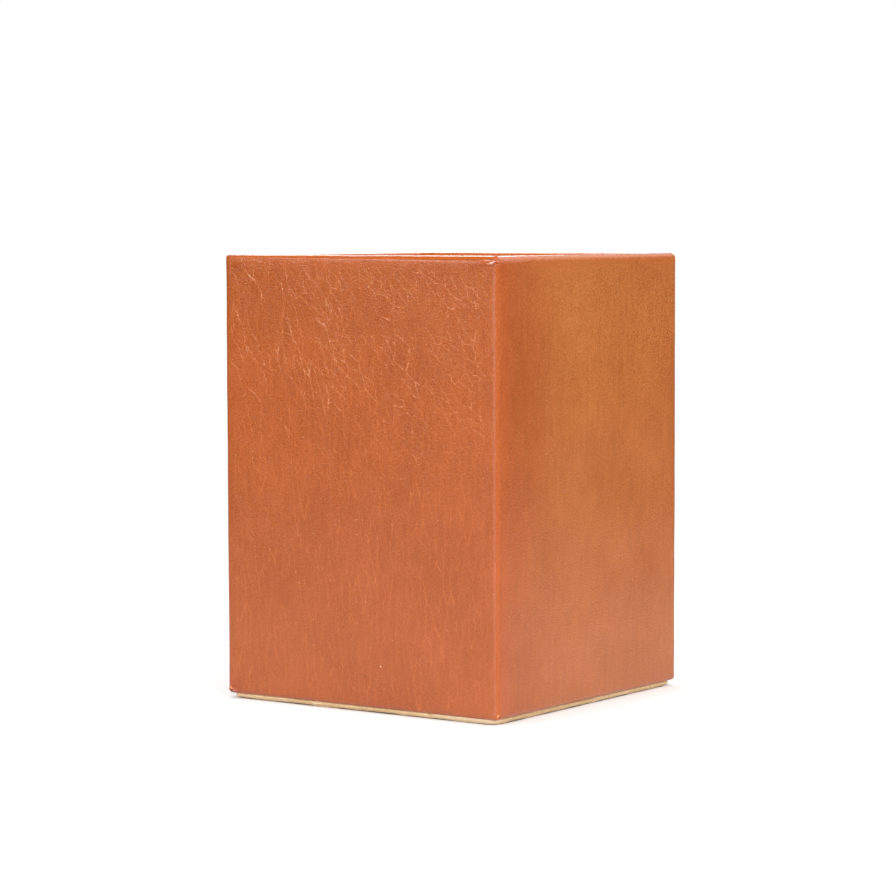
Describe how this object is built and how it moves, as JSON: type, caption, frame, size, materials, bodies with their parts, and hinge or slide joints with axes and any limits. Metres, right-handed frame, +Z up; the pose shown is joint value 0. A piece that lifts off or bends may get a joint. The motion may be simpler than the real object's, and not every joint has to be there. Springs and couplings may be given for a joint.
{
  "type": "pen holder",
  "caption": "Square open-topped desk pen cup: fibreboard walls wrapped in smooth tan leather, suede-lined pocket, raw-edged leather base pad.",
  "frame": {"origin": "centre of the underside of the base pad, where the holder stands on the desk", "axes": "+Z up, out of the pocket's mouth; -Y out of the front face; +X to the right seen from the front"},
  "size_m": [0.08, 0.08, 0.108],
  "materials": {
    "wrap_leather": "smooth, aniline, semi-gloss",
    "base_leather": "raw, undyed, flesh side down",
    "lining_suede": "suede nap",
    "lining_card": "matte",
    "fibreboard": "matte, sanded"
  },
  "bodies": {
    "root": {"front_wall_board": "fibreboard", "back_wall_board": "fibreboard", "left_wall_board": "fibreboard", "right_wall_board": "fibreboard", "floor_board": "fibreboard", "leather_wrap": "wrap_leather", "front_lining_suede": "lining_suede", "front_lining_card": "lining_card", "right_lining_suede": "lining_suede", "right_lining_card": "lining_card", "back_lining_suede": "lining_suede", "back_lining_card": "lining_card", "left_lining_suede": "lining_suede", "left_lining_card": "lining_card", "floor_lining_suede": "lining_suede", "floor_lining_card": "lining_card", "base_filler_card": "lining_card", "base_pad": "base_leather"}
  },
  "joints": []
}
